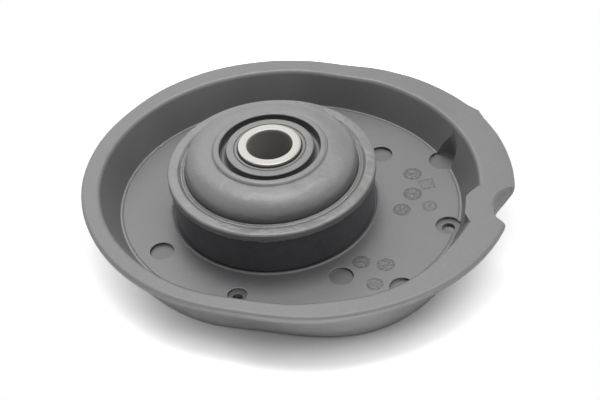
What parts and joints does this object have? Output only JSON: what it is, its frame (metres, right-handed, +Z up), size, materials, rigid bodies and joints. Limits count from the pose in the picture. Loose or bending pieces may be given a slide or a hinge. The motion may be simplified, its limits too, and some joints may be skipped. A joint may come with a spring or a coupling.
{
  "type": "strut mount",
  "caption": "Upper strut mount: oval moulded spring seat dish with a rubber bushed, flanged hub and steel rod sleeve that turns on a thrust ball bearing.",
  "frame": {"origin": "on the rod axis, level with the top of the dish floor", "axes": "+Z up along the rod, out of the dish; +X to the right in the picture; -Y towards the camera"},
  "size_m": [0.1754, 0.1609, 0.0388],
  "materials": {
    "seat_plastic": "moulded, fine satin grain",
    "collar_plastic": "smooth moulded",
    "bush_rubber": "satin moulded",
    "flange_rubber": "satin moulded, thin parting flash",
    "seal_rubber": "satin",
    "sleeve_steel": "turned, bright zinc",
    "bearing_steel": "ground",
    "can_steel": "pressed sheet",
    "cage_nylon": "moulded"
  },
  "bodies": {
    "seat": {"spring_seat": "seat_plastic", "lower_race": "bearing_steel"},
    "cage": {"ball_cage": "cage_nylon", "ball_01": "bearing_steel", "ball_02": "bearing_steel", "ball_03": "bearing_steel", "ball_04": "bearing_steel", "ball_05": "bearing_steel", "ball_06": "bearing_steel", "ball_07": "bearing_steel", "ball_08": "bearing_steel", "ball_09": "bearing_steel", "ball_10": "bearing_steel", "ball_11": "bearing_steel", "ball_12": "bearing_steel", "ball_13": "bearing_steel", "ball_14": "bearing_steel", "ball_15": "bearing_steel", "ball_16": "bearing_steel", "ball_17": "bearing_steel", "ball_18": "bearing_steel", "ball_19": "bearing_steel", "ball_20": "bearing_steel", "ball_21": "bearing_steel", "ball_22": "bearing_steel"},
    "hub": {"upper_race": "bearing_steel", "bearing_cap": "collar_plastic", "outer_seal": "seal_rubber", "inner_seal": "seal_rubber", "bush_can": "can_steel", "rubber_block": "bush_rubber", "flange_ring": "flange_rubber", "inner_sleeve": "sleeve_steel"}
  },
  "joints": [
    {"name": "hub_turn", "type": "hinge", "parent": "seat", "child": "hub", "pos_m": [0, 0, 0], "axis": [0, 0, 1], "continuous": true},
    {"name": "cage_turn", "type": "hinge", "parent": "seat", "child": "cage", "pos_m": [0, 0, 0], "axis": [0, 0, 1], "continuous": true}
  ],
  "couplings": [
    {"joint": "cage_turn", "follows": "hub_turn", "ratio": 0.5}
  ]
}
